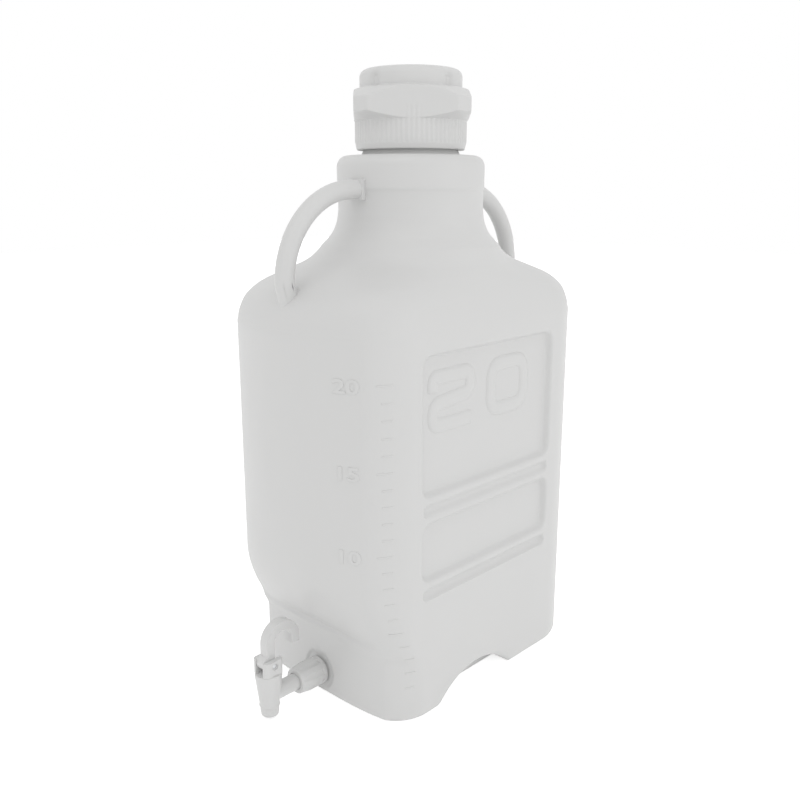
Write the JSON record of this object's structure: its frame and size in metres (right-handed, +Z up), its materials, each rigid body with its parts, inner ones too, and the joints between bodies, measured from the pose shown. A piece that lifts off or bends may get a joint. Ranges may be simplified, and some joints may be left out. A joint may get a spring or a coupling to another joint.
{
  "type": "dispensing carboy",
  "caption": "Tall rectangular plastic dispensing bottle with two arched shoulder handles, a large screw cap and a lever tap low on its front.",
  "frame": {"origin": "centre of the neck's axis where it meets the flat base the bottle stands on", "axes": "+Z up along the neck, -Y towards the tap, +X towards the right-hand panelled side seen from the tap"},
  "size_m": [0.21, 0.3748, 0.59],
  "materials": {
    "polyethylene": "smooth, slightly satin",
    "cap_plastic": "smooth, slightly satin",
    "tap_plastic": "smooth",
    "foam": "soft",
    "rubber": "matt",
    "steel": "drawn"
  },
  "bodies": {
    "bottle": {"bottle_foot": "polyethylene", "bottle_lower_walls": "polyethylene", "bottle_sides": "polyethylene", "bottle_shoulder": "polyethylene", "bottle_collar": "polyethylene", "bottle_neck": "polyethylene", "front_handle": "polyethylene", "rear_handle": "polyethylene", "outlet_gasket": "rubber", "nut_ring": "tap_plastic", "coupling_nut": "tap_plastic", "tap_body": "tap_plastic", "tap_bonnet": "tap_plastic", "bonnet_seal": "rubber", "stem_seal": "rubber", "pivot_pin": "steel", "return_spring": "steel"},
    "liner": {"cap_liner": "foam"},
    "cap": {"cap_shell": "cap_plastic"},
    "lever": {"tap_lever": "tap_plastic"},
    "stem": {"valve_stem": "tap_plastic", "seat_cup": "rubber", "spring_washer": "tap_plastic"}
  },
  "joints": [
    {"name": "cap_lift", "type": "slide", "parent": "bottle", "child": "liner", "axis": [0, 0, 1], "range_m": [0, 0.12]},
    {"name": "cap_turn", "type": "hinge", "parent": "liner", "child": "cap", "pos_m": [0, 0, 0.56], "axis": [0, 0, 1], "range_deg": [0, 900]},
    {"name": "lever_tilt", "type": "hinge", "parent": "bottle", "child": "lever", "pos_m": [0, -0.192, 0.0572], "axis": [1, 0, 0], "range_deg": [0, 70], "stiffness_Nm_per_rad": 0.02, "springref_deg": -20.05},
    {"name": "stem_push", "type": "slide", "parent": "bottle", "child": "stem", "axis": [0, 0, -1], "range_m": [0, 0.00345], "deforming": ["return_spring"]}
  ],
  "couplings": [
    {"joint": "stem_push", "follows": "lever_tilt", "m_per_rad": 0.0028169}
  ]
}
